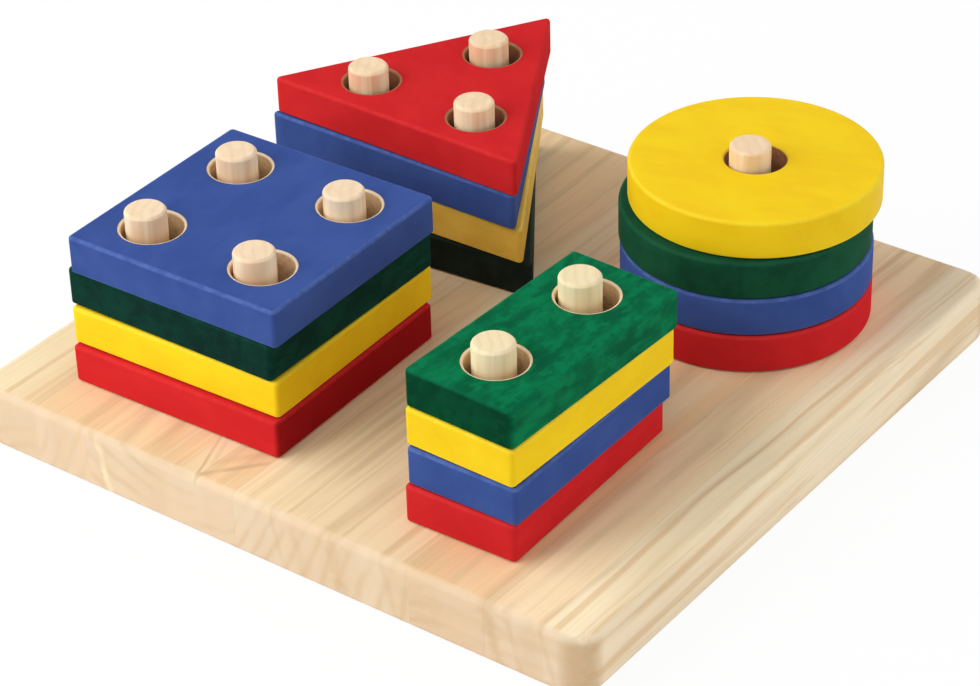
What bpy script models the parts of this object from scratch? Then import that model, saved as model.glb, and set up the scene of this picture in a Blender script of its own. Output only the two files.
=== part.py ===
import math

import bmesh
import bpy
from mathutils import Vector

# Shape sorting board: a flat wooden board with ten pegs and four stacks of painted blocks.
# Sizes are metres, +Z is up, and the origin is the middle of the board's underside.

# Board
board_side = 0.180
board_thickness = 0.016
board_corner_radius = 0.007
board_edge_radius = 0.0025

# Where each stack sits, from the board's edge to the middle of the column or row
left_column_inset = 0.050
right_column_inset = 0.045
front_row_inset = 0.047
back_row_inset = 0.0445
# From the board's back edge to the tip of the triangles
triangle_tip_inset = 0.010

# Pegs, glued into blind sockets in the board
peg_diameter = 0.0102
peg_spacing = 0.0333
peg_showing = 0.0047
peg_end_chamfer = 0.0006
socket_floor = 0.006
glue_gap = 0.0003

# Blocks, which drop over the pegs with plenty of play around each peg
block_thickness = 0.0098
block_gap = 0.0003
block_edge_radius = 0.0010
hole_play = 0.0025
square_side = 0.062
square_corner_radius = 0.0018
rectangle_width = 0.0302
rectangle_length = 0.062
rectangle_corner_radius = 0.0018
triangle_side = 0.0775
triangle_corner_radius = 0.0012
disc_diameter = 0.0622

# How finely round stretches are drawn
corner_steps = 3
edge_steps = 2
peg_sides = 20
hole_sides = 20
disc_sides = 40

# Colours as linear red, green and blue
paint_colours = {
    "red": (0.72, 0.022, 0.020),
    "yellow": (0.90, 0.56, 0.010),
    "blue": (0.045, 0.095, 0.38),
    "green": (0.006, 0.17, 0.075),
}
board_colour = (0.80, 0.64, 0.41)
peg_colour = (0.84, 0.67, 0.45)
paint_roughness = 0.42
wood_roughness = 0.55

# The blocks of each stack from the board up: colour, then how far the block has shifted along X and Y
# and turned on its pegs, each as a share of what the play around the pegs allows
stack_blocks = {
    "square": [
        ("red", 0.08, -0.14, 0.24),
        ("yellow", -0.20, 0.46, 0.29),
        ("green", -0.26, 0.54, 0.03),
        ("blue", 0.46, 0.26, 0.19),
    ],
    "rectangle": [
        ("red", 0.04, -0.55, 0.18),
        ("blue", 0.49, -0.37, 0.03),
        ("yellow", 0.57, -0.26, -0.15),
        ("green", 0.77, -0.19, -0.25),
    ],
    "triangle": [
        ("green", 0.02, 0.0, 0.66),
        ("yellow", -0.23, 0.32, 0.21),
        ("blue", -0.38, 0.18, -0.01),
        ("red", 0.18, 0.23, -0.12),
    ],
    "round": [
        ("red", 0.10, -0.47, 0.0),
        ("blue", -0.04, -0.27, 0.0),
        ("green", -0.22, -0.26, 0.0),
        ("yellow", 0.14, 0.79, 0.0),
    ],
}
# Blocks whose holes were drilled to one side along X, as a share of the same play
drilled_aside = {"rectangle_block_green": -0.36}

# Sizes that follow from the ones above
blocks_per_stack = len(stack_blocks["square"])
block_pitch = block_thickness + block_gap
peg_above_board = blocks_per_stack * block_pitch + peg_showing
hole_radius = peg_diameter / 2 + hole_play
socket_radius = peg_diameter / 2 + glue_gap
socket_depth = board_thickness - socket_floor
left_column = left_column_inset - board_side / 2
right_column = board_side / 2 - right_column_inset
front_row = front_row_inset - board_side / 2
back_row = board_side / 2 - back_row_inset
triangle_inradius = triangle_side / math.sqrt(12)
triangle_height = triangle_side * math.sqrt(3) / 2
triangle_row = board_side / 2 - triangle_tip_inset - triangle_height + triangle_inradius


def peg_ring(count, first_angle):
    # Pegs at the corners of an even polygon whose sides are one peg spacing long
    radius = peg_spacing / (2 * math.sin(math.pi / count))
    angles = [first_angle + 2 * math.pi * i / count for i in range(count)]
    return [Vector((radius * math.cos(a), radius * math.sin(a))) for a in angles]


stack_centres = {
    "square": Vector((left_column, front_row)),
    "rectangle": Vector((right_column, front_row)),
    "triangle": Vector((left_column, triangle_row)),
    "round": Vector((right_column, back_row)),
}
stack_pegs = {
    "square": peg_ring(4, math.radians(-135)),
    "rectangle": peg_ring(2, math.radians(-90)),
    "triangle": peg_ring(3, math.radians(-150)),
    "round": [Vector((0, 0))],
}


def box_corners(width, length):
    return [Vector((x * width / 2, y * length / 2)) for x, y in ((-1, -1), (1, -1), (1, 1), (-1, 1))]


def triangle_corners():
    low = -triangle_inradius
    return [
        Vector((-triangle_side / 2, low)),
        Vector((triangle_side / 2, low)),
        Vector((0, low + triangle_height)),
    ]


def rounded_outline(corners, radius):
    # Gives the outline drawn in by a distance, as arcs about each corner of the polygon
    def points(inset):
        arc = max(radius - inset, 0.0002)
        outline = []
        for i, corner in enumerate(corners):
            before = (corners[i - 1] - corner).normalized()
            after = (corners[(i + 1) % len(corners)] - corner).normalized()
            half = before.angle(after) / 2
            centre = corner + (before + after).normalized() * (inset + arc) / math.sin(half)
            start = math.atan2(before.x, -before.y)
            sweep = math.pi - 2 * half
            for step in range(corner_steps + 1):
                angle = start + sweep * step / corner_steps
                outline.append(centre + arc * Vector((math.cos(angle), math.sin(angle))))
        return outline

    return points


def circle_outline(radius, sides, centre=Vector((0, 0))):
    def points(inset):
        angles = [2 * math.pi * i / sides for i in range(sides)]
        return [centre + (radius - inset) * Vector((math.cos(a), math.sin(a))) for a in angles]

    return points


def rounded_edges(thickness, radius):
    # Insets and heights of the rings that round off a plate's lower and upper edges
    quarter = [math.pi / 2 * step / edge_steps for step in range(edge_steps + 1)]
    lower = [(radius * (1 - math.sin(t)), radius * (1 - math.cos(t))) for t in quarter]
    upper = [(inset, thickness - height) for inset, height in reversed(lower)]
    return lower + upper


def add_loop(bm, outline, height):
    corners = [bm.verts.new((p.x, p.y, height)) for p in outline]
    return [bm.edges.new((corners[i - 1], corners[i])) for i in range(len(corners))]


def add_wall(bm, loops):
    for lower, upper in zip(loops, loops[1:]):
        bmesh.ops.bridge_loops(bm, edges=lower + upper)


def add_cap(bm, loops):
    edges = [edge for loop in loops for edge in loop]
    bmesh.ops.triangle_fill(bm, edges=edges, use_beauty=True)


def finish_mesh(bm, name, sharp_angle):
    bmesh.ops.recalc_face_normals(bm, faces=bm.faces)
    mesh = bpy.data.meshes.new(name)
    bm.to_mesh(mesh)
    bm.free()
    for face in mesh.polygons:
        face.use_smooth = True
    mesh.set_sharp_from_angle(angle=math.radians(sharp_angle))
    return mesh


def board_mesh():
    bm = bmesh.new()
    outline = rounded_outline(box_corners(board_side, board_side), board_corner_radius)
    edges = rounded_edges(board_thickness, board_edge_radius)
    sides = [add_loop(bm, outline(inset), height) for inset, height in edges]
    add_wall(bm, sides)
    mouths = []
    for shape, pegs in stack_pegs.items():
        for peg in pegs:
            socket = circle_outline(socket_radius, peg_sides, stack_centres[shape] + peg)(0)
            mouth = add_loop(bm, socket, board_thickness)
            floor = add_loop(bm, socket, board_thickness - socket_depth)
            add_wall(bm, [mouth, floor])
            add_cap(bm, [floor])
            mouths.append(mouth)
    add_cap(bm, [sides[0]])
    add_cap(bm, [sides[-1]] + mouths)
    return finish_mesh(bm, "base_board", 50)


def peg_mesh():
    # The origin is where the peg leaves the board's top, with its lower end down in the socket
    bm = bmesh.new()
    outline = circle_outline(peg_diameter / 2, peg_sides)
    rings = [
        (0, glue_gap - socket_depth),
        (0, peg_above_board - peg_end_chamfer),
        (peg_end_chamfer, peg_above_board),
    ]
    loops = [add_loop(bm, outline(inset), height) for inset, height in rings]
    add_wall(bm, loops)
    add_cap(bm, [loops[0]])
    add_cap(bm, [loops[-1]])
    return finish_mesh(bm, "peg", 40)


def block_mesh(shape, outline, aside):
    # The origin is the middle of the block's underside, with the holes drilled aside along X
    bm = bmesh.new()
    edges = rounded_edges(block_thickness, block_edge_radius)
    sides = [add_loop(bm, outline(inset), height) for inset, height in edges]
    add_wall(bm, sides)
    lower_rims = []
    upper_rims = []
    for peg in stack_pegs[shape]:
        hole = circle_outline(hole_radius, hole_sides, peg + Vector((aside, 0)))(0)
        lower_rims.append(add_loop(bm, hole, 0))
        upper_rims.append(add_loop(bm, hole, block_thickness))
        add_wall(bm, [lower_rims[-1], upper_rims[-1]])
    add_cap(bm, [sides[0]] + lower_rims)
    add_cap(bm, [sides[-1]] + upper_rims)
    return finish_mesh(bm, shape + "_block", 60)


def finish_material(name, colour, roughness):
    material = bpy.data.materials.new(name + "_finish")
    material.use_nodes = True
    shader = material.node_tree.nodes["Principled BSDF"]
    shader.inputs["Base Color"].default_value = (*colour, 1)
    shader.inputs["Roughness"].default_value = roughness
    shader.inputs["Metallic"].default_value = 0
    material.diffuse_color = (*colour, 1)
    return material


def add_object(name, mesh, colour, roughness):
    piece = bpy.data.objects.new(name, mesh.copy())
    piece.data.name = name
    piece.data.materials.append(finish_material(name, colour, roughness))
    bpy.context.scene.collection.objects.link(piece)
    return piece


def add_stack(shape, pegs_mesh, outline):
    # An empty on the board's top carries the stack's pegs and blocks
    carrier = bpy.data.objects.new(shape + "_stack", None)
    carrier.location = (*stack_centres[shape], board_thickness)
    bpy.context.scene.collection.objects.link(carrier)

    pegs = stack_pegs[shape]
    for number, place in enumerate(pegs, start=1):
        name = f"{shape}_peg_{number}" if len(pegs) > 1 else f"{shape}_peg"
        peg = add_object(name, pegs_mesh, peg_colour, wood_roughness)
        peg.parent = carrier
        peg.location = (*place, 0)

    reach = max(place.length for place in pegs)
    free_turn = hole_play / reach if reach > 0 else 0
    for level, (colour, shift_x, shift_y, turn) in enumerate(stack_blocks[shape]):
        name = f"{shape}_block_{colour}"
        plate = block_mesh(shape, outline, drilled_aside.get(name, 0) * hole_play)
        block = add_object(name, plate, paint_colours[colour], paint_roughness)
        block.parent = carrier
        block.location = (shift_x * hole_play, shift_y * hole_play, block_gap + level * block_pitch)
        block.rotation_euler = (0, 0, turn * free_turn)


def build():
    for item in list(bpy.data.objects):
        bpy.data.objects.remove(item, do_unlink=True)

    block_outlines = {
        "square": rounded_outline(box_corners(square_side, square_side), square_corner_radius),
        "rectangle": rounded_outline(box_corners(rectangle_width, rectangle_length), rectangle_corner_radius),
        "triangle": rounded_outline(triangle_corners(), triangle_corner_radius),
        "round": circle_outline(disc_diameter / 2, disc_sides),
    }
    add_object("base_board", board_mesh(), board_colour, wood_roughness)
    dowel = peg_mesh()
    for shape, outline in block_outlines.items():
        add_stack(shape, dowel, outline)
    bpy.context.view_layer.update()


build()
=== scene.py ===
import math
import bmesh
import bpy
from mathutils import Matrix, Vector


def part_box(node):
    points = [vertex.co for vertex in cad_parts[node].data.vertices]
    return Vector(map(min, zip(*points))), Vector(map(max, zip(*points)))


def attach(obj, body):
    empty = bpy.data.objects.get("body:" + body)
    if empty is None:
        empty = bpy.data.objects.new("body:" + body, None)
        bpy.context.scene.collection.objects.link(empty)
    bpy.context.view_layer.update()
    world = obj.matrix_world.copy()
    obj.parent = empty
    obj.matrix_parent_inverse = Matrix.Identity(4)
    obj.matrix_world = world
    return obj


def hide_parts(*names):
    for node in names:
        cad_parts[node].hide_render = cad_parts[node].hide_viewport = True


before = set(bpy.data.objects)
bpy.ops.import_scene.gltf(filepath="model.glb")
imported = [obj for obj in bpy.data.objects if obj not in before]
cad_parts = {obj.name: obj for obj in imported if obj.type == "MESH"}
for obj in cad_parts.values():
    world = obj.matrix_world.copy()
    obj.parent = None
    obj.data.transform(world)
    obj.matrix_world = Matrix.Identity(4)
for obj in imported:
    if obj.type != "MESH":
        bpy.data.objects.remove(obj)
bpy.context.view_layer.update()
scene = bpy.context.scene
scene.view_settings.view_transform = "Standard"
print("frame loaded:", len(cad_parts), "nodes")


# the low and the high corner of a node
def nodeBox(node):
    return [Vector(corner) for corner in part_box(node)]


def nodeMiddle(node):
    low, high = nodeBox(node)
    return (low + high) / 2


# shader maths on one socket of a node tree
class Sock:
    def __init__(self, tree, out=None):
        self.tree = tree
        self.out = out

    def node(self, kind, settings=None, sockets=None, pick=0):
        made = self.tree.nodes.new("ShaderNode" + kind)
        for key, value in (settings or {}).items():
            if key == "stops":
                self.fillRamp(made.color_ramp, value)
            else:
                setattr(made, key, value)
        for key, value in (sockets or {}).items():
            if isinstance(value, Sock):
                self.tree.links.new(value.out, made.inputs[key])
            else:
                made.inputs[key].default_value = value
        return Sock(self.tree, made.outputs[pick] if made.outputs else None)

    # stops in steps: each has the place from 0 to 1 where it starts, and a colour
    def fillRamp(self, ramp, stops):
        ramp.interpolation = "CONSTANT"
        ramp.elements.remove(ramp.elements[1])
        ramp.elements[0].color = stops[0][1]
        for place, colour in stops[1:]:
            ramp.elements.new(place).color = colour

    def maths(self, operation, first, second=0.0):
        return self.node("Math", {"operation": operation}, {0: first, 1: second})

    def __add__(self, other):
        return self.maths("ADD", self, other)

    def __radd__(self, other):
        return self.maths("ADD", other, self)

    def __sub__(self, other):
        return self.maths("SUBTRACT", self, other)

    def __rsub__(self, other):
        return self.maths("SUBTRACT", other, self)

    def __mul__(self, other):
        return self.maths("MULTIPLY", self, other)

    def __rmul__(self, other):
        return self.maths("MULTIPLY", other, self)

    def __truediv__(self, other):
        return self.maths("DIVIDE", self, other)

    def __rtruediv__(self, other):
        return self.maths("DIVIDE", other, self)

    def __pow__(self, other):
        return self.maths("POWER", self, other)

    def __rpow__(self, other):
        return self.maths("POWER", other, self)

    def __abs__(self):
        return self.maths("ABSOLUTE", self)

    # smooth step from low to high, remapped to the two ends
    def between(self, low, high, start=0.0, end=1.0):
        steps = {0: self, 1: low, 2: high, 3: start, 4: end}
        return self.node("MapRange", {"interpolation_type": "SMOOTHSTEP"}, steps)

    # sine wave from 0 to 1, one wave for each step of 1
    def wave(self):
        return self.maths("SINE", self * (2 * math.pi)) * 0.5 + 0.5

    # the parts of a vector by their letters
    def axes(self, letters="XYZ"):
        return [self.node("SeparateXYZ", None, {0: self}, letter) for letter in letters]

    # a colour mix with this value as its factor
    def mix(self, first, second):
        return self.node("Mix", {"data_type": "RGBA"}, {0: self, 6: first, 7: second}, 2)

    # noise stretched by scale, in features per metre
    def noise(self, scale, detail=2.0, rough=0.5, shift=(0, 0, 0)):
        place = self.node("Mapping", None, {"Vector": self, "Location": shift, "Scale": scale})
        values = {"Vector": place, "Scale": 1.0, "Detail": detail, "Roughness": rough}
        return self.node("TexNoise", None, values)


def rgb(red, green, blue):
    return (red, green, blue, 1.0)


def newFinish(name):
    finish = bpy.data.materials.new(name)
    finish.use_nodes = True
    finish.node_tree.nodes.clear()
    return finish, Sock(finish.node_tree)


def closeFinish(start, colour, roughness, height, look):
    bump = {"Strength": look["bump"], "Distance": look["bumpDepth"], "Height": height}
    surface = {
        "Base Color": colour,
        "Roughness": roughness,
        "Specular IOR Level": look["shine"],
        "Normal": start.node("Bump", None, bump),
    }
    start.node("OutputMaterial", None, {"Surface": start.node("BsdfPrincipled", None, surface)})


# detail and roughness of a noise
fineNoise = (3.0, 0.60)
softNoise = (3.0, 0.55)
speckNoise = (2.0, 0.60)
dotNoise = (1.0, 0.50)

# glued panel of pale staves, grain along Y, ring arcs on the two end-grain faces
# a stave: where it starts along X, its tone, and its pith (side, depth under the top, lean along the grain)
# a streak: its middle along X at the front edge, half its width, drift per metre of grain, strength and tone
# the flame is the pointed figure at the front edge: its tip, how fast its two arms open, and where they fade
# for each pattern, noise is its scale in features per metre, ramp the noise values that it grows between,
# and weight how strongly it shows
boardWood = {
    "staves": (
        (-0.0900, rgb(0.865, 0.670, 0.405), (-0.090, 0.040, 0.01)),
        (-0.0705, rgb(0.865, 0.618, 0.360), (-0.095, 0.010, 0.03)),
        (-0.0540, rgb(0.875, 0.623, 0.360), (-0.018, 0.030, -0.10)),
        (-0.0085, rgb(0.895, 0.700, 0.434), (-0.055, 0.028, 0.02)),
        (0.0415, rgb(0.845, 0.561, 0.314), (0.050, 0.050, 0.07)),
        (0.0630, rgb(0.900, 0.690, 0.437), (0.098, 0.040, -0.03)),
        (0.0785, rgb(0.910, 0.765, 0.545), (0.040, 0.050, 0.02)),
    ),
    "rings": {"gap": 0.0046, "pithReach": 0.2, "wobble": 0.0018, "uneven": 1.6, "sharp": 2.5},
    "sway": {"wide": 0.012, "fine": 0.007, "down": 0.3},
    "streaks": (
        (-0.0580, 0.0009, 0.00, 0.50, "warm"),
        (-0.0513, 0.0011, 0.00, 0.80, "cream"),
        (0.0030, 0.0009, 0.02, 0.42, "late"),
        (0.0090, 0.0012, 0.03, 0.45, "late"),
        (0.0200, 0.0020, 0.04, 0.50, "late"),
        (0.0350, 0.0012, 0.02, 0.36, "late"),
        (0.0640, 0.0022, 0.02, 0.65, "late"),
        (0.0700, 0.0011, 0.03, 0.40, "late"),
        (0.0788, 0.0009, 0.05, 0.50, "late"),
    ),
    "streakShape": {"lean": 0.25, "sway": 0.4, "ragged": 3, "soft": 1.5, "seed": 90},
    "flame": {"x": -0.020, "y": -0.0885, "left": 0.38, "right": 0.83, "next": 0.0055, "waver": 0.003,
              "line": (0.00032, 0.00176), "nextLine": (0.00048, 0.00240), "fade": (0.008, 0.024),
              "rise": (0.011, 0.015), "within": (-0.0091, -0.0085)},
    "cream": rgb(0.90, 0.78, 0.515),
    "warm": rgb(0.74, 0.52, 0.29),
    "late": rgb(0.58, 0.39, 0.21),
    "pore": rgb(0.50, 0.33, 0.18),
    "pink": rgb(0.66, 0.515, 0.375),
    # side is the darker tone of the painted shade on the two side faces along X
    "side": rgb(0.60, 0.45, 0.30),
    "glue": rgb(0.52, 0.36, 0.20),
    "noise": {
        "swayWide": (11, 2.5, 11), "swayFine": (16, 13, 16), "wobble": (80, 9, 80), "uneven": (60, 3, 25),
        "late": (60, 6, 60), "streak": (330, 5, 330), "cream": (70, 4, 70), "patch": (28, 14, 28),
        "fibre": (1300, 22, 1300), "pore": (1500, 70, 1500), "band": (75, 1, 8), "layer": (14, 1, 260),
        "streakGaps": (60, 22, 60), "flameWaver": (90, 90, 90), "flameGaps": (90, 40, 90),
    },
    "ramp": {
        "late": (0.34, 0.66), "streak": (0.50, 0.64), "cream": (0.46, 0.66), "patch": (0.50, 0.75),
        "fibre": (0.42, 0.75), "pore": (0.68, 0.78), "band": (0.42, 0.62), "layer": (0.45, 0.65),
        "streakGaps": (0.34, 0.66), "flameGaps": (0.30, 0.50),
    },
    "weight": {
        "late": 0.45, "streak": 0.72, "cream": 0.60, "patch": 0.20, "fibre": 0.16, "pore": 0.12,
        "band": 0.22, "layer": 0.30, "stain": 0.25, "pink": 0.75, "side": 0.08, "glue": 0.12,
        "corner": 0.80, "flame": 0.65, "flameNext": 0.25,
    },
    "ends": (0.0876, 0.0897), "endFibre": 0.65, "layers": (0.030, 0.050), "stain": (-0.0715, -0.0695),
    # where the rounded corners get their painted shade, and how high it reaches up the corner
    "corner": (0.1715, 0.1760), "cornerTop": (0.0130, 0.0155), "glueLine": (0.00004, 0.00030),
    "rough": {"base": 0.52, "fibre": 0.14, "late": 0.06},
    "height": {"fibre": 0.45, "streak": 0.25, "pore": 0.40, "late": 0.30},
    "bump": 0.30, "bumpDepth": 0.0004, "shine": 0.25,
}


# a stepped ramp along X with one colour for each stave
def staveRamp(along, starts, colours):
    return along.node("ValToRGB", {"stops": list(zip(starts, colours))}, {0: along})


# rings round each stave's pith, as a wave from 0 to 1 with the late wood at 1
def ringWave(place, x, y, below, pith, sway):
    rings, spread = boardWood["rings"], boardWood["noise"]
    side, depth, lean = ((pith.node("SeparateColor", None, {0: pith}, n) - 0.5) * rings["pithReach"]
                         for n in range(3))
    across = x - side + sway + place.noise(spread["wobble"]) * rings["wobble"]
    down = below + depth + lean * y
    ring = (across * across + down * down) ** 0.5 / rings["gap"]
    return (ring + place.noise(spread["uneven"]) * rings["uneven"]).wave()


# end faces have dark bands, thin glued layers to the right and a stain at the left
def endMarks(place, x):
    look = boardWood
    spread, ramp, weight = look["noise"], look["ramp"], look["weight"]
    bands = place.noise(spread["band"]).between(*ramp["band"])
    layers = place.noise(spread["layer"]).between(*ramp["layer"]) * x.between(*look["layers"])
    stain = x.between(*look["stain"], 1.0, 0.0)
    return bands * weight["band"] + layers * weight["layer"] + stain * weight["stain"]


# single streaks that drift along the grain, lean through the thickness and break off here and there
def addStreaks(colour, place, x, y, below, sway, fine, halfBoard):
    look = boardWood
    shape, spread, ramp = look["streakShape"], look["noise"], look["ramp"]
    swayMiddle = (look["sway"]["wide"] + look["sway"]["fine"]) / 2
    swayed = x + sway * shape["sway"]
    for middle, half, drift, strength, name in look["streaks"]:
        front = middle + swayMiddle * shape["sway"] + halfBoard * drift
        off = abs(swayed - y * drift - below * shape["lean"] - front)
        off = off + (fine - 0.5) * half * shape["ragged"]
        shift = (middle * shape["seed"], 0, 0)
        broken = place.noise(spread["streakGaps"], shift=shift).between(*ramp["streakGaps"])
        line = off.between(0, half * shape["soft"], 1.0, 0.0)
        colour = (line * broken * strength).mix(colour, look[name])
    return colour


# two arms that open from the tip, and a fainter pair inside them
def addFlame(colour, x, y, z, bent):
    look = boardWood
    flame, spread, ramp, weight = (look[key] for key in ("flame", "noise", "ramp", "weight"))
    aside = x - flame["x"]
    arms = x.maths("MAXIMUM", aside / flame["right"], aside / -flame["left"])
    inward = y - flame["y"] - arms + (bent.noise(spread["flameWaver"]) - 0.5) * flame["waver"]
    first = abs(inward).between(*flame["line"], 1.0, 0.0) * weight["flame"]
    second = abs(inward - flame["next"]).between(*flame["nextLine"], 1.0, 0.0) * weight["flameNext"]
    shown = arms.between(*flame["fade"], 1.0, 0.0) * z.between(*flame["rise"])
    shown = shown * bent.noise(spread["flameGaps"]).between(*ramp["flameGaps"])
    shown = shown * x.between(*flame["within"], 1.0, 0.0)
    return ((first + second) * shown).mix(colour, look["late"])


# thin lines where two staves meet
def glueLines(x):
    nearest = None
    for stave in boardWood["staves"][1:]:
        gap = abs(x - stave[0])
        nearest = gap if nearest is None else x.maths("MINIMUM", nearest, gap)
    return nearest.between(*boardWood["glueLine"], 1.0, 0.0)


def boardFinish():
    look = boardWood
    spread, ramp, weight, rough, rise = (look[key] for key in ("noise", "ramp", "weight", "rough", "height"))
    low, high = nodeBox("base_board")
    width = high.x - low.x
    finish, start = newFinish("boardWoodFinish")
    place = start.node("TexCoord", pick="Object")
    x, y, z = place.axes()
    along = x / width + 0.5
    below = high.z - z
    starts = [stave[0] / width + 0.5 for stave in look["staves"]]
    tone = staveRamp(along, starts, [stave[1] for stave in look["staves"]])
    reach = look["rings"]["pithReach"]
    piths = [rgb(*(0.5 + value / reach for value in stave[2])) for stave in look["staves"]]
    pith = staveRamp(along, starts, piths)
    # the grain sways, and fine patterns run along the swayed grain
    sway = place.noise(spread["swayWide"]) * look["sway"]["wide"]
    sway = sway + place.noise(spread["swayFine"]) * look["sway"]["fine"]
    bent = place.node("CombineXYZ", None, {0: x + sway, 1: y, 2: z + sway * look["sway"]["down"]})
    late = ringWave(place, x, y, below, pith, sway) ** look["rings"]["sharp"]
    late = late * bent.noise(spread["late"]).between(*ramp["late"])
    streak = bent.noise(spread["streak"], *fineNoise)
    cream = bent.noise(spread["cream"], *softNoise).between(*ramp["cream"])
    patch = place.noise(spread["patch"]).between(*ramp["patch"])
    fibre = bent.noise(spread["fibre"], *fineNoise)
    pores = bent.noise(spread["pore"], *dotNoise).between(*ramp["pore"])
    ends = abs(y).between(*look["ends"])
    shadedSides = abs(x).between(*look["ends"])
    lined = 1 - ends * look["endFibre"]
    colour = (cream * weight["cream"]).mix(tone, look["cream"])
    colour = (ends * weight["pink"]).mix(colour, look["pink"])
    colour = (ends * endMarks(place, x)).mix(colour, look["late"])
    # painted shade: the side faces along X are painted a little darker
    colour = (shadedSides * weight["side"]).mix(colour, look["side"])
    warm = streak.between(*ramp["streak"]) * lined * weight["streak"] + patch * weight["patch"]
    colour = warm.mix(colour, look["warm"])
    colour = (late * weight["late"]).mix(colour, look["late"])
    colour = addStreaks(colour, place, x, y, below, sway, streak, width / 2)
    colour = addFlame(colour, x, y, z, bent)
    colour = (fibre.between(*ramp["fibre"]) * lined * weight["fibre"]).mix(colour, look["late"])
    colour = (pores * weight["pore"]).mix(colour, look["pore"])
    colour = (glueLines(x) * weight["glue"]).mix(colour, look["glue"])
    # painted shade: the rounded corners are painted darker below the top edge
    corner = (abs(x) + abs(y)).between(*look["corner"]) * z.between(*look["cornerTop"], 1.0, 0.0)
    colour = (corner * weight["corner"]).mix(colour, look["late"])
    roughness = rough["base"] + fibre * rough["fibre"] + late * rough["late"]
    height = (fibre * rise["fibre"] + streak * rise["streak"]) * lined
    height = height - pores * rise["pore"] - late * rise["late"]
    closeFinish(start, colour, roughness, height, look)
    return finish


# turned dowels, grain along Z, each stack's cut from its own rod
# a rod: its pale and its warm tone
pegWood = {
    "rods": {
        "square": (rgb(0.87, 0.70, 0.49), rgb(0.78, 0.54, 0.35)),
        "rectangle": (rgb(0.86, 0.745, 0.48), rgb(0.85, 0.71, 0.41)),
        "triangle": (rgb(0.88, 0.70, 0.47), rgb(0.75, 0.46, 0.27)),
        "round": (rgb(0.87, 0.67, 0.45), rgb(0.80, 0.57, 0.34)),
    },
    "late": rgb(0.66, 0.44, 0.27),
    "rings": {"gap": 0.0026, "turn": (0.8, 0.6), "sway": 0.008, "sharp": 3.0},
    "noise": {"sway": (60, 60, 8), "streak": (260, 260, 14), "fibre": (1500, 1500, 45),
              "pore": (1700, 1700, 130)},
    "ramp": {"streak": (0.40, 0.62), "fibre": (0.45, 0.75), "pore": (0.67, 0.77)},
    "weight": {"ring": 0.18, "end": 0.16, "fibre": 0.16, "pore": 0.20},
    "endStreak": 0.7,
    "rough": {"base": 0.52, "fibre": 0.14},
    "height": {"fibre": 0.5, "streak": 0.3, "pore": 0.6, "late": 0.2},
    "bump": 0.30, "bumpDepth": 0.0003, "shine": 0.25,
}


def pegFinish(rod):
    look = pegWood
    rings, spread, ramp, weight = (look[key] for key in ("rings", "noise", "ramp", "weight"))
    rough, rise = look["rough"], look["height"]
    pale, warm = look["rods"][rod]
    finish, start = newFinish(rod + "DowelFinish")
    place = start.node("TexCoord", pick="Object")
    x, y = place.axes("XY")
    across, back = rings["turn"]
    sway = place.noise(spread["sway"]) * rings["sway"]
    late = ((x * across + y * back + sway) / rings["gap"]).wave() ** rings["sharp"]
    streak = place.noise(spread["streak"], *softNoise)
    fibre = place.noise(spread["fibre"], *fineNoise)
    pores = place.noise(spread["pore"], *dotNoise).between(*ramp["pore"])
    ends = start.node("Attribute", {"attribute_name": "endGrain"}, None, "Fac")
    colour = (streak.between(*ramp["streak"]) * (1 - ends * look["endStreak"])).mix(pale, warm)
    colour = (late * weight["ring"] + ends * weight["end"]).mix(colour, look["late"])
    colour = (fibre.between(*ramp["fibre"]) * weight["fibre"]).mix(colour, look["late"])
    colour = (pores * weight["pore"]).mix(colour, look["late"])
    roughness = rough["base"] + fibre * rough["fibre"]
    height = fibre * rise["fibre"] + streak * rise["streak"] - pores * rise["pore"] - late * rise["late"]
    closeFinish(start, colour, roughness, height, look)
    return finish


# bare drilled wood inside the holes, with faint drill marks round the wall and a rounded rim; the walls are
# darker than the rim, partly the wood's own tone and partly painted shade deep in the holes
# a wood: the pale and the warm tone of the wall, and the tone of the rim
boreWood = {
    "woods": {
        "pale": (rgb(0.74, 0.54, 0.32), rgb(0.50, 0.32, 0.17), rgb(0.88, 0.74, 0.53)),
        # painted shade: the brown wood is painted near black for the dark depths of the triangle's and the
        # disc's holes
        "brown": (rgb(0.36, 0.16, 0.080), rgb(0.21, 0.080, 0.040), rgb(0.42, 0.22, 0.11)),
    },
    "noise": {"fibre": (700, 110, 700), "marks": (60, 60, 2600), "cloud": (150, 150, 150)},
    "ramp": {"fibre": (0.40, 0.70), "cloud": (0.40, 0.70), "rim": (0.30, 0.55, 0.70, 1.0)},
    "weight": {"fibre": 0.6, "cloud": 0.3},
    "rough": {"base": 0.62, "fibre": 0.15},
    "height": {"fibre": 0.6, "marks": 0.4},
    "bump": 0.35, "bumpDepth": 0.0003, "shine": 0.2,
}


def boreFinish(wood):
    look = boreWood
    spread, ramp, weight, rough, rise = (look[key] for key in ("noise", "ramp", "weight", "rough", "height"))
    pale, warm, rimTone = look["woods"][wood]
    finish, start = newFinish(wood + "BoreFinish")
    place = start.node("TexCoord", pick="Object")
    fibre = place.noise(spread["fibre"], *fineNoise)
    marks = place.noise(spread["marks"])
    cloud = place.noise(spread["cloud"])
    rim = start.node("Attribute", {"attribute_name": "edgeWear"}, None, "Fac")
    warmth = fibre.between(*ramp["fibre"]) * weight["fibre"] + cloud.between(*ramp["cloud"]) * weight["cloud"]
    colour = warmth.mix(pale, warm)
    colour = (rim * cloud.between(*ramp["rim"])).mix(colour, rimTone)
    roughness = rough["base"] + fibre * rough["fibre"]
    closeFinish(start, colour, roughness, fibre * rise["fibre"] + marks * rise["marks"], look)
    return finish
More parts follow.
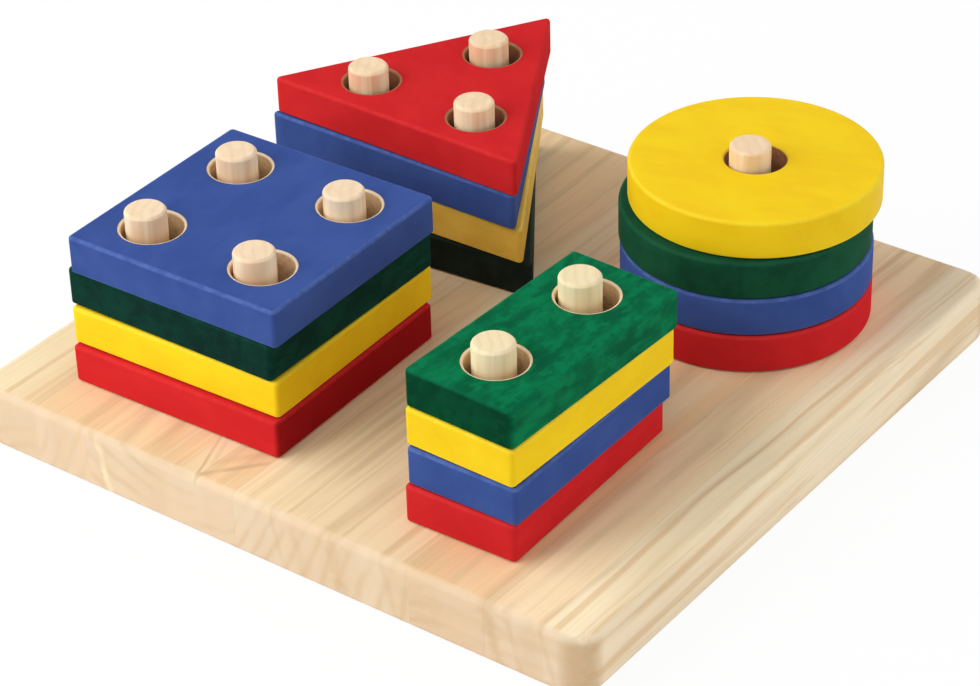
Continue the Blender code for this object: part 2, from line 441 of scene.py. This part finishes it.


# paint on wood: deep and light are the drift of the coat, the edge tone is rubbed paint with a painted
# highlight on the rounded edges, grain, mottle and the edge weight are how strongly these show, end is how
# much darker the coat dries on end grain, and matt is its roughness
paints = {
    "red": {
        "base": rgb(0.600, 0.0225, 0.0255), "deep": rgb(0.56, 0.0190, 0.0225),
        "light": rgb(0.64, 0.028, 0.030), "thin": rgb(0.68, 0.050, 0.046),
        "grain": 0.20, "mottle": 0.10, "rub": 0.30, "end": 0.10,
        "matt": 0.80, "bump": 0.14, "shine": 0.006,
    },
    "yellow": {
        "base": rgb(0.870, 0.590, 0.009), "deep": rgb(0.840, 0.54, 0.008),
        "light": rgb(0.890, 0.635, 0.014), "thin": rgb(0.91, 0.72, 0.06),
        "grain": 0.25, "mottle": 0.10, "rub": 0.35, "end": 0.10,
        "matt": 0.42, "bump": 0.18, "shine": 0.06,
    },
    "ochre": {
        "base": rgb(0.80, 0.52, 0.080), "deep": rgb(0.72, 0.440, 0.060),
        "light": rgb(0.84, 0.58, 0.105), "thin": rgb(0.90, 0.72, 0.16),
        "grain": 0.40, "mottle": 0.15, "rub": 0.40, "end": 0.10,
        "matt": 0.44, "bump": 0.20, "shine": 0.06,
    },
    "blue": {
        "base": rgb(0.0430, 0.086, 0.290), "deep": rgb(0.036, 0.073, 0.262),
        "light": rgb(0.054, 0.101, 0.324), "thin": rgb(0.12, 0.19, 0.47),
        "grain": 0.20, "mottle": 0.10, "rub": 0.45, "end": 0.10,
        "matt": 0.60, "bump": 0.14, "shine": 0.035,
    },
    "green": {
        "base": rgb(0.0014, 0.133, 0.049), "deep": rgb(0.0008, 0.085, 0.034),
        "light": rgb(0.0022, 0.188, 0.069), "thin": rgb(0.004, 0.19, 0.08),
        "grain": 0.45, "mottle": 0.65, "rub": 0.20, "end": 0.78,
        "matt": 0.50, "bump": 0.26, "shine": 0.02,
    },
    "forestGreen": {
        "base": rgb(0.0080, 0.071, 0.032), "deep": rgb(0.0062, 0.055, 0.026),
        "light": rgb(0.0100, 0.088, 0.040), "thin": rgb(0.018, 0.125, 0.062),
        "grain": 0.40, "mottle": 0.25, "rub": 0.25, "end": 0.20,
        "matt": 0.50, "bump": 0.24, "shine": 0.02,
    },
    "darkGreen": {
        "base": rgb(0.0027, 0.038, 0.026), "deep": rgb(0.0020, 0.025, 0.019),
        "light": rgb(0.0039, 0.052, 0.034), "thin": rgb(0.008, 0.090, 0.055),
        "grain": 0.40, "mottle": 0.50, "rub": 0.25, "end": 0.30,
        "matt": 0.50, "bump": 0.26, "shine": 0.03,
    },
    # painted shade: a near-black copy of the green for the triangle's lowest block, which sits in shade
    "blackGreen": {
        "base": rgb(0.0135, 0.022, 0.017), "deep": rgb(0.010, 0.016, 0.013),
        "light": rgb(0.018, 0.030, 0.023), "thin": rgb(0.03, 0.07, 0.05),
        "grain": 0.30, "mottle": 0.30, "rub": 0.20, "end": 0.10,
        "matt": 0.50, "bump": 0.22, "shine": 0.03,
    },
}
# painted shade: the lowest square's red is painted much darker on its end-grain faces, where the rectangle
# stack shades its right face
paints["thirstyRed"] = {**paints["red"], "end": 0.60}

# what all the paints share
paintCoat = {
    "noise": {"fibre": (1100, 26, 1100), "streak": (230, 16, 230), "cloud": (110, 60, 110),
              "speck": (420, 420, 420), "blotch": (330, 170, 330)},
    "ramp": {"deep": (0.36, 0.62), "streak": (0.42, 0.70), "cloud": (0.52, 0.72), "paleBlotch": (0.50, 0.62),
             "darkBlotch": (0.38, 0.48, 1.0, 0.0), "fibre": (0.44, 0.74), "worn": (0.34, 0.66, 0.35, 1.0)},
    "fibreShare": 0.5, "endShade": 0.25,
    "rough": {"fibre": 0.10, "speck": 0.06, "worn": 0.05},
    "height": {"fibre": 0.5, "streak": 0.35, "speck": 0.15},
    "bumpDepth": 0.0003,
}


def paintFinish(name, paint, grainTurn, shift):
    look = {**paintCoat, **paints[paint]}
    base, deep, light, thin = (look[key] for key in ("base", "deep", "light", "thin"))
    spread, ramp, rough, rise = (look[key] for key in ("noise", "ramp", "rough", "height"))
    grain, mottle = look["grain"], look["mottle"]
    endTone = rgb(*(part * look["endShade"] for part in deep[:3]))
    finish, start = newFinish(name)
    place = start.node("TexCoord", pick="Object")
    turned = {"Vector": place, "Location": shift, "Rotation": (0, 0, math.radians(-grainTurn))}
    place = place.node("Mapping", None, turned)
    fibre = place.noise(spread["fibre"], *fineNoise)
    streak = place.noise(spread["streak"], *softNoise)
    cloud = place.noise(spread["cloud"], *softNoise)
    speck = place.noise(spread["speck"], *speckNoise)
    blotch = place.noise(spread["blotch"], *fineNoise)
    worn = start.node("Attribute", {"attribute_name": "edgeWear"}, None, "Fac")
    ends = start.node("Attribute", {"attribute_name": "endGrain"}, None, "Fac")
    colour = cloud.between(*ramp["deep"]).mix(deep, base)
    pale = streak.between(*ramp["streak"]) * grain + cloud.between(*ramp["cloud"]) * grain
    colour = pale.mix(colour, light)
    colour = (blotch.between(*ramp["paleBlotch"]) * mottle).mix(colour, light)
    colour = (blotch.between(*ramp["darkBlotch"]) * mottle).mix(colour, deep)
    colour = (fibre.between(*ramp["fibre"]) * grain * look["fibreShare"]).mix(colour, deep)
    colour = (ends * look["end"]).mix(colour, endTone)
    # rubbed paint and a painted highlight along the middle of the rounded edges
    colour = (worn * speck.between(*ramp["worn"]) * look["rub"]).mix(colour, thin)
    roughness = look["matt"] + fibre * rough["fibre"] + speck * rough["speck"] - worn * rough["worn"]
    height = fibre * rise["fibre"] + streak * rise["streak"] + speck * rise["speck"]
    closeFinish(start, colour, roughness, height, look)
    return finish


# points nearer than this are one point
tiny = 1e-6


def addPiece(name, shape, finishes, body, node, grain):
    bmesh.ops.remove_doubles(shape, verts=shape.verts[:], dist=tiny)
    bmesh.ops.recalc_face_normals(shape, faces=shape.faces[:])
    markEdges(shape, grain)
    mesh = bpy.data.meshes.new(name)
    shape.to_mesh(mesh)
    shape.free()
    for finish in finishes:
        mesh.materials.append(finish)
    piece = bpy.data.objects.new(name, mesh)
    scene.collection.objects.link(piece)
    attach(piece, body)
    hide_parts(node)


# flat faces stay flat, rounded ones are smooth, the middle of every rounded edge is marked for rubbed paint
# with a painted highlight and for the lighter rims of the holes, and each face by how squarely the grain
# meets it
edgeMarks = {"flatArea": 6e-5, "level": 0.999, "rim": (0.01, 0.99)}


def markEdges(shape, grain):
    edgeMiddle = shape.verts.layers.float.new("edgeWear")
    ends = shape.faces.layers.float.new("endGrain")
    shape.normal_update()
    for face in shape.faces:
        face.smooth = abs(face.normal.z) < edgeMarks["level"] and face.calc_area() < edgeMarks["flatArea"]
        face[ends] = face.normal.dot(grain) ** 2
    least, most = edgeMarks["rim"]
    for vert in shape.verts:
        tilts = [abs(face.normal.z) for face in vert.link_faces]
        vert[edgeMiddle] = 1.0 if all(least < tilt < most for tilt in tilts) else 0.0


# a plate from its corner points, with rounded corners and rounded rims
def roundedPlate(corners, cornerCut, cornerSteps, thickness, edgeRound, footRound, edgeSteps):
    shape = bmesh.new()
    rim = [shape.verts.new((x, y, 0)) for x, y in corners]
    shape.faces.new(rim)
    bmesh.ops.bevel(shape, geom=rim, offset=cornerCut, segments=cornerSteps, profile=0.5,
                    affect="VERTICES", material=-1)
    return thickenPlate(shape, thickness, edgeRound, footRound, edgeSteps)


def thickenPlate(shape, thickness, edgeRound, footRound, edgeSteps):
    grown = bmesh.ops.extrude_face_region(shape, geom=shape.faces[:])["geom"]
    raised = [part for part in grown if isinstance(part, bmesh.types.BMVert)]
    bmesh.ops.translate(shape, verts=raised, vec=(0, 0, thickness))
    for level, offset in ((thickness, edgeRound), (0, footRound)):
        rim = [edge for edge in shape.edges if all(abs(vert.co.z - level) < tiny for vert in edge.verts)]
        bmesh.ops.bevel(shape, geom=rim, offset=offset, segments=edgeSteps, profile=0.5,
                        affect="EDGES", material=-1, clamp_overlap=True)
    return shape


# a lathe profile spun into a closed ring, kept as a mesh that can be set in many places
def spunProfile(points, rounded, roundBy, roundSteps, spinSteps, materialIndex):
    ring = bmesh.new()
    chain = [ring.verts.new((reach, 0, height)) for reach, height in points]
    for pair in zip(chain, chain[1:]):
        ring.edges.new(pair)
    bmesh.ops.bevel(ring, geom=[chain[n] for n in rounded], offset=roundBy, segments=roundSteps,
                    profile=0.5, affect="VERTICES", material=-1)
    bmesh.ops.spin(ring, geom=ring.verts[:] + ring.edges[:], cent=(0, 0, 0), axis=(0, 0, 1),
                   angle=2 * math.pi, steps=spinSteps, use_merge=True)
    bmesh.ops.remove_doubles(ring, verts=ring.verts[:], dist=tiny)
    for face in ring.faces:
        face.material_index = materialIndex
    mesh = bpy.data.meshes.new("spunProfile")
    ring.to_mesh(mesh)
    ring.free()
    return mesh


# opens the flat faces at the given heights and closes them again round the holes
def drillPlate(shape, spool, centres, heights):
    shape.normal_update()
    flat = [face for face in shape.faces if abs(face.normal.z) > edgeMarks["level"]]
    caps = [face for face in flat
            if min(abs(face.calc_center_median().z - height) for height in heights) < tiny]
    bmesh.ops.delete(shape, geom=caps, context="FACES_ONLY")
    for x, y in centres:
        hole = spool.copy()
        hole.transform(Matrix.Translation((x, y, 0)))
        shape.from_mesh(hole)
        bpy.data.meshes.remove(hole)
    for height in heights:
        loops = [edge for edge in shape.edges
                 if edge.is_boundary and all(abs(vert.co.z - height) < tiny for vert in edge.verts)]
        bmesh.ops.triangle_fill(shape, edges=loops, use_beauty=True)


# turns a shape and sets it on the middle of a node's box
def seatOnNode(shape, node, turn):
    turned = Matrix.Rotation(math.radians(turn), 3, "Z")
    bmesh.ops.rotate(shape, verts=shape.verts[:], cent=(0, 0, 0), matrix=turned)
    spots = [vert.co for vert in shape.verts]
    middle = [(min(spot[n] for spot in spots) + max(spot[n] for spot in spots)) / 2 for n in range(3)]
    bmesh.ops.translate(shape, verts=shape.verts[:], vec=nodeMiddle(node) - Vector(middle))


allPegs = [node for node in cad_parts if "_peg" in node]

board = {"corner": 0.007, "cornerSteps": 10, "edge": 0.0020, "foot": 0.0014, "edgeSteps": 6,
         "socket": 0.0054, "socketDepth": 0.010, "socketSteps": 32,
         "socketRim": 0.0001, "socketRimSteps": 2, "socketLip": 0.0002}


def makeBoard():
    low, high = nodeBox("base_board")
    corners = ((low.x, low.y), (high.x, low.y), (high.x, high.y), (low.x, high.y))
    thickness = high.z - low.z
    shape = roundedPlate(corners, board["corner"], board["cornerSteps"], thickness,
                         board["edge"], board["foot"], board["edgeSteps"])
    floorLevel = thickness - board["socketDepth"]
    reach = board["socket"]
    points = ((reach + board["socketLip"], thickness), (reach, thickness), (reach, floorLevel),
              (0, floorLevel))
    socket = spunProfile(points, (1,), board["socketRim"], board["socketRimSteps"], board["socketSteps"], 0)
    centres = [nodeMiddle(peg).xy for peg in allPegs]
    drillPlate(shape, socket, centres, (thickness,))
    seatOnNode(shape, "base_board", 0)
    addPiece("boardPanel", shape, [boardFinish()], "board", "base_board", Vector((0, 1, 0)))
    print("board made with", len(centres), "sockets")


makeBoard()

peg = {"chamfer": 0.0006, "soften": 0.0002, "softenSteps": 3, "footChamfer": 0.0006, "spinSteps": 48}


def makePegs():
    finishes = {rod: pegFinish(rod) for rod in pegWood["rods"]}
    for node in allPegs:
        low, high = nodeBox(node)
        reach = (high.x - low.x) / 2
        height = high.z - low.z
        points = ((0, 0), (reach - peg["footChamfer"], 0), (reach, peg["footChamfer"]),
                  (reach, height - peg["chamfer"]), (reach - peg["chamfer"], height), (0, height))
        turned = spunProfile(points, (3, 4), peg["soften"], peg["softenSteps"], peg["spinSteps"], 0)
        shape = bmesh.new()
        shape.from_mesh(turned)
        seatOnNode(shape, node, 0)
        parts = node.split("_")
        name = parts[0] + "Dowel" + "".join(parts[2:])
        addPiece(name, shape, [finishes[parts[0]]], "board", node, Vector((0, 0, 1)))
    print("pegs made:", len(allPegs))


makePegs()

# lip is the flat ring round a hole that leaves room to round its rim
# noiseStep moves the pattern on from block to block, noiseKind from stack to stack
block = {"edge": 0.0009, "foot": 0.0005, "edgeSteps": 5, "cornerSteps": 7, "rim": 0.0006, "rimSteps": 4,
         "lip": 0.00066, "holeSteps": 56, "discSteps": 144, "upright": 0.05,
         "noiseStep": Vector((0.31, 0.53, 0.17)), "noiseKind": Vector((0.07, 0, 0))}
boreFinishes = {wood: boreFinish(wood) for wood in boreWood["woods"]}

# stack layouts: outline, hole radius and hole wood, and each block's turn, grain direction and paint,
# from the board up
squareStack = {
    "side": 0.062, "corner": 0.0012, "hole": 0.0076, "bores": "pale",
    "blocks": {"red": (1.460, 90, "thirstyRed"), "yellow": (1.764, 88, "yellow"),
               "green": (0.183, 1, "darkGreen"), "blue": (1.156, 2, "blue")},
}
rectangleStack = {
    "width": 0.0302, "length": 0.062, "corner": 0.0012, "hole": 0.0074, "bores": "pale",
    "blocks": {"red": (1.549, 1, "red"), "blue": (0.258, 0, "blue"), "yellow": (-1.291, -2, "yellow"),
               "green": (-2.151, -2, "green")},
    "drilledAside": {"green": (-0.00045, 0.0002)},  # holes a little off the block's middle
}
triangleStack = {
    "side": 0.0775, "corner": 0.0012, "firstCorner": -150, "hole": 0.0071, "bores": "brown",
    "blocks": {"green": (4.917, 5, "blackGreen"), "yellow": (1.565, 60, "ochre"), "blue": (-0.075, 0, "blue"),
               "red": (-0.894, 58, "red")},
}
discStack = {
    "across": 0.0622, "hole": 0.0077, "bores": "brown",
    "blocks": {"red": (0, 20, "red"), "blue": (0, 75, "blue"), "green": (0, 40, "forestGreen"),
               "yellow": (0, 100, "yellow")},
    "paintedRims": ("yellow",),  # paint runs over the rims of its hole
}
pegSpacing = 0.0333


def makeStack(kind, stack, outline, holes):
    spool = None
    for number, (colour, (turn, grain, paint)) in enumerate(stack["blocks"].items()):
        node = kind + "_block_" + colour
        low, high = nodeBox(node)
        thickness = high.z - low.z
        shape = outline(thickness)
        if spool is None:
            reach = stack["hole"]
            wide = reach + block["lip"]
            points = ((wide, 0), (reach, 0), (reach, thickness), (wide, thickness))
            spool = spunProfile(points, (1, 2), block["rim"], block["rimSteps"], block["holeSteps"], 1)
        right, back = stack.get("drilledAside", {}).get(colour, (0, 0))
        drillPlate(shape, spool, [(x + right, y + back) for x, y in holes], (0, thickness))
        if colour in stack.get("paintedRims", ()):
            shape.normal_update()
            for face in shape.faces:
                if abs(face.normal.z) > block["upright"]:
                    face.material_index = 0
        seatOnNode(shape, node, turn)
        name = kind + "Block" + colour.capitalize()
        shift = block["noiseStep"] * number + block["noiseKind"] * len(kind)
        finish = paintFinish(name + "Paint", paint, grain, shift)
        along = Matrix.Rotation(math.radians(grain), 3, "Z") @ Vector((0, 1, 0))
        addPiece(name, shape, [finish, boreFinishes[stack["bores"]]], node, node, along)
    print(kind, "stack made")


def plateOutline(points, corner):
    def outline(thickness):
        return roundedPlate(points, corner, block["cornerSteps"], thickness,
                            block["edge"], block["foot"], block["edgeSteps"])
    return outline


def discOutline(thickness):
    shape = bmesh.new()
    bmesh.ops.create_circle(shape, cap_ends=True, radius=discStack["across"] / 2, segments=block["discSteps"])
    return thickenPlate(shape, thickness, block["edge"], block["foot"], block["edgeSteps"])


def boxPoints(width, length):
    right, back = width / 2, length / 2
    return [(-right, -back), (right, -back), (right, back), (-right, back)]


def ringPoints(count, radius, first):
    angles = [math.radians(first + 360 * n / count) for n in range(count)]
    return [(radius * math.cos(angle), radius * math.sin(angle)) for angle in angles]


half = pegSpacing / 2
squarePoints = boxPoints(squareStack["side"], squareStack["side"])
makeStack("square", squareStack, plateOutline(squarePoints, squareStack["corner"]),
          [(x, y) for x in (-half, half) for y in (-half, half)])
rectanglePoints = boxPoints(rectangleStack["width"], rectangleStack["length"])
makeStack("rectangle", rectangleStack, plateOutline(rectanglePoints, rectangleStack["corner"]),
          [(0, -half), (0, half)])
triangleReach = triangleStack["side"] / math.sqrt(3)
triangleCut = triangleStack["corner"] * math.sqrt(3)
trianglePoints = ringPoints(3, triangleReach, triangleStack["firstCorner"])
makeStack("triangle", triangleStack, plateOutline(trianglePoints, triangleCut),
          ringPoints(3, pegSpacing / math.sqrt(3), triangleStack["firstCorner"]))
makeStack("round", discStack, discOutline, [(0, 0)])


# white floor that keeps a faint shadow for the camera
floorLook = {"size": 4.0, "drop": 0.0002, "white": rgb(0.90, 0.90, 0.90), "lift": 0.93}


# 1 for the rays that show the background, 0 for those that light the object
def seenRays(start):
    camera, glossy, through = (start.node("LightPath", None, None, "Is " + kind + " Ray")
                               for kind in ("Camera", "Glossy", "Transmission"))
    return start.maths("MAXIMUM", camera.maths("MAXIMUM", camera, glossy), through)


def makeFloor():
    finish, start = newFinish("floorFinish")
    seen = seenRays(start)
    plain = start.node("BsdfDiffuse", None, {"Color": floorLook["white"]})
    glow = start.node("Emission", None, {"Color": rgb(1, 1, 1), "Strength": 1.0})
    both = start.node("MixShader", None, {0: seen * floorLook["lift"], 1: plain, 2: glow})
    start.node("OutputMaterial", None, {"Surface": both})
    shape = bmesh.new()
    bmesh.ops.create_grid(shape, x_segments=1, y_segments=1, size=floorLook["size"] / 2)
    bmesh.ops.translate(shape, verts=shape.verts[:], vec=(0, 0, -floorLook["drop"]))
    mesh = bpy.data.meshes.new("floor")
    shape.to_mesh(mesh)
    shape.free()
    mesh.materials.append(finish)
    floor = bpy.data.objects.new("floor", mesh)
    scene.collection.objects.link(floor)
    print("floor laid")


makeFloor()

# broad lamps round the board, by their compass turn from +X and their height in degrees
# the room is seen as white but gives less light than that
lamps = {
    "keyLamp": {"power": 6.55, "size": 1.0, "from": 215, "height": 40},
    "frontLamp": {"power": 2.3, "size": 0.5, "from": 250, "height": 42},
    "lowLamp": {"power": 1.5, "size": 0.5, "from": 245, "height": 18},
    "rightLamp": {"power": 1.5, "size": 1.0, "from": 0, "height": 30},
    "sideLamp": {"power": 1.25, "size": 0.5, "from": 0, "height": 12},
    "farLamp": {"power": 2.7, "size": 1.0, "from": 60, "height": 35},
}
room = {"strength": 0.36, "lampDistance": 1.0}


def makeLight():
    world = bpy.data.worlds.new("studio")
    scene.world = world
    world.use_nodes = True
    world.node_tree.nodes.clear()
    start = Sock(world.node_tree)
    seen = seenRays(start)
    strength = seen * (1 - room["strength"]) + room["strength"]
    sky = start.node("Background", None, {"Color": rgb(1, 1, 1), "Strength": strength})
    start.node("OutputWorld", None, {"Surface": sky})
    for name, look in lamps.items():
        lamp = bpy.data.lights.new(name, "AREA")
        lamp.energy = look["power"]
        lamp.shape = "DISK"
        lamp.size = look["size"]
        holder = bpy.data.objects.new(name, lamp)
        scene.collection.objects.link(holder)
        side = math.radians(look["from"])
        rise = math.radians(look["height"])
        toward = Vector((math.cos(side) * math.cos(rise), math.sin(side) * math.cos(rise), math.sin(rise)))
        turned = toward.to_track_quat("Z", "Y").to_matrix().to_4x4()
        holder.matrix_world = Matrix.Translation(toward * room["lampDistance"]) @ turned
    print("lamps set:", len(lamps))


makeLight()

# camera that looks down at the near corner, fitted to the outlines of the board and the stacks
view = {"turn": 37.11, "rise": 33.181, "roll": -1.618, "right": -0.001119, "up": 0.009796,
        "distance": 0.805678, "lens": 118.724, "sensor": 36, "near": 0.01}


def makeCamera():
    turn, rise, roll = (math.radians(view[key]) for key in ("turn", "rise", "roll"))
    back = Vector((math.sin(turn) * math.cos(rise), -math.cos(turn) * math.cos(rise), math.sin(rise)))
    right = Vector((math.cos(turn), math.sin(turn), 0))
    up = back.cross(right)
    tiltedRight = right * math.cos(roll) + up * math.sin(roll)
    tiltedUp = up * math.cos(roll) - right * math.sin(roll)
    lens = bpy.data.cameras.new("camera")
    lens.sensor_width = view["sensor"]
    lens.lens = view["lens"]
    lens.clip_start = view["near"]
    holder = bpy.data.objects.new("camera", lens)
    scene.collection.objects.link(holder)
    axes = Matrix((tiltedRight, tiltedUp, back)).transposed().to_4x4()
    spot = tiltedRight * view["right"] + tiltedUp * view["up"] + back * view["distance"]
    holder.matrix_world = Matrix.Translation(spot) @ axes
    scene.camera = holder
    print("camera set")


makeCamera()
bpy.context.view_layer.update()
